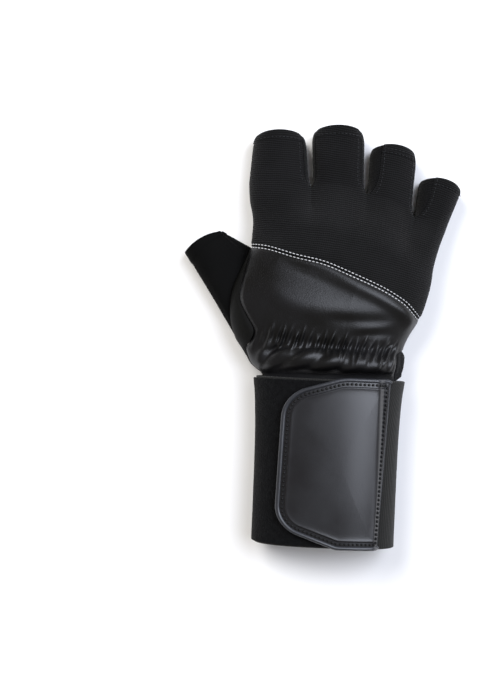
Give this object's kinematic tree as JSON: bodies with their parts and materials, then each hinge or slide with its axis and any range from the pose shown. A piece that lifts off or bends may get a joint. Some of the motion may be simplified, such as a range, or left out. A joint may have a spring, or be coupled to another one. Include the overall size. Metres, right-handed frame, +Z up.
{
  "type": "weightlifting glove",
  "caption": "Half-finger right-hand training glove with a knit back, leather palm, gathered leather cover and a wrist wrap closed by a hook-and-loop tab.",
  "frame": {"origin": "under the middle of the palm, on the surface that the glove lies on", "axes": "+Y towards the finger tips, -X towards the thumb, +Z up through the back of the hand"},
  "size_m": [0.1523, 0.2315, 0.0393],
  "materials": {
    "knit": "ribbed stretch knit, matt",
    "leather": "smooth soft leather, satin",
    "matt_leather": "suede-like, matt",
    "elastic": "woven ribbed elastic, matt",
    "loop": "brushed loop fabric, matt",
    "tab": "coated leather, half gloss",
    "hook": "moulded hook tape"
  },
  "bodies": {
    "root": {"back_panel": "knit", "side_gusset_1": "knit", "side_gusset_2": "knit", "side_gusset_3": "knit", "finger_palm": "leather", "palm_pad": "leather", "palm_band": "leather", "heel_panel": "matt_leather", "thumb_ball": "leather", "thumb_stall": "matt_leather", "thumb_strip": "leather", "back_cover": "leather", "side_binding": "knit", "cuff_band": "elastic", "loop_panel": "loop", "hook_patch": "hook", "closing_tab": "tab", "tab_piping": "tab"}
  },
  "joints": []
}
